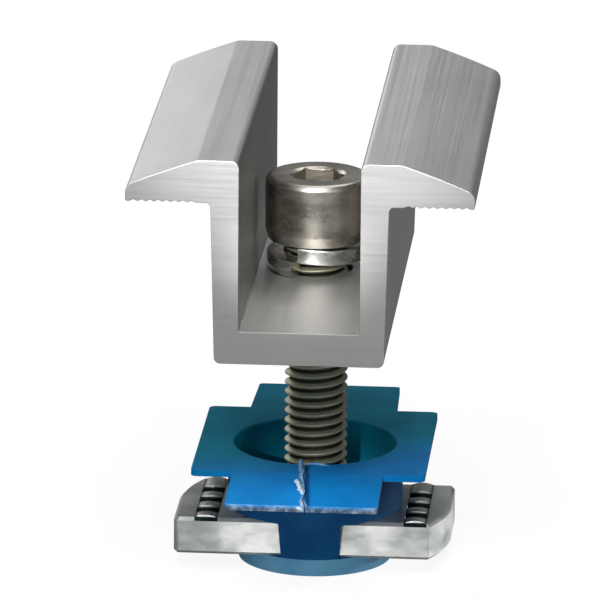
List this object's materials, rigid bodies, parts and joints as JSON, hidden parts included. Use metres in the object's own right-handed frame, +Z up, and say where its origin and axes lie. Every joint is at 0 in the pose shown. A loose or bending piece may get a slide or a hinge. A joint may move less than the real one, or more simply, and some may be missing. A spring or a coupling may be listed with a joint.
{
  "type": "solar mid clamp",
  "caption": "Two-jawed aluminium clamp with socket screw, split washer, plastic retainer and channel nut, for holding neighbouring solar modules down on a mounting rail.",
  "frame": {"origin": "on the screw's axis, at the underside of the plastic retainer's base disc", "axes": "+Z up along the screw, X across the two jaws and along the channel nut, Y along the clamp's length and the rail"},
  "size_m": [0.0422, 0.06, 0.0587],
  "materials": {
    "clamp_aluminium": "extruded, matt mill finish",
    "screw_stainless": "polished stainless steel",
    "washer_steel": "bright steel",
    "retainer_plastic": "satin moulded plastic",
    "nut_zinc": "zinc-plated steel"
  },
  "bodies": {
    "rail_grip": {"plastic_retainer": "retainer_plastic", "channel_nut": "nut_zinc"},
    "lock_washer": {"spring_washer": "washer_steel"},
    "screw": {"cap_screw": "screw_stainless"},
    "clamp": {"mid_clamp": "clamp_aluminium"}
  },
  "joints": [
    {"name": "screw_travel", "type": "slide", "parent": "rail_grip", "child": "lock_washer", "axis": [0, 0, 1], "range_m": [-0.0175, 0.0025]},
    {"name": "screw_turn", "type": "hinge", "parent": "lock_washer", "child": "screw", "pos_m": [0, 0, 0.04135], "axis": [0, 0, 1], "range_deg": [-5041, 721]},
    {"name": "clamp_swivel", "type": "hinge", "parent": "lock_washer", "child": "clamp", "pos_m": [0, 0, 0.03735], "axis": [0, 0, 1], "continuous": true}
  ],
  "couplings": [
    {"joint": "screw_turn", "follows": "screw_travel", "rad_per_m": 5026.5}
  ]
}
